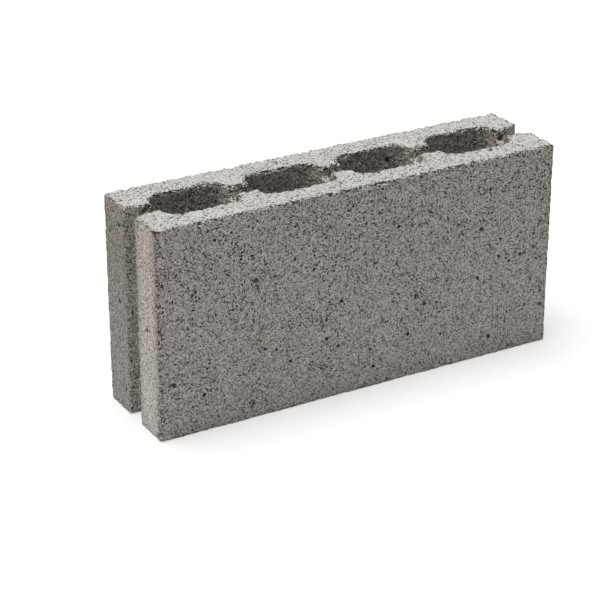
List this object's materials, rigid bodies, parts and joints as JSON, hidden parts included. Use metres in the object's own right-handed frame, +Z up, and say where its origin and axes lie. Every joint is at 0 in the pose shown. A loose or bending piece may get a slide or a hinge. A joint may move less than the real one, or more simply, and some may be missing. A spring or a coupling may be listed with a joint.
{
  "type": "hollow concrete block",
  "caption": "Long thin hollow concrete block with cores in a row, a mortar groove down each end and a shallow channel across its webs; laid in mortar for partition walls.",
  "frame": {"origin": "on the floor, under the middle of the block", "axes": "+X along the block's length, +Y through the wall's thickness, +Z up, towards the bed face with the channel"},
  "size_m": [0.39, 0.095, 0.19],
  "materials": {
    "concrete": "pressed dry-mix concrete, grey, matt, open-textured with small pits and sand grains"
  },
  "bodies": {
    "root": {"block": "concrete"}
  },
  "joints": []
}
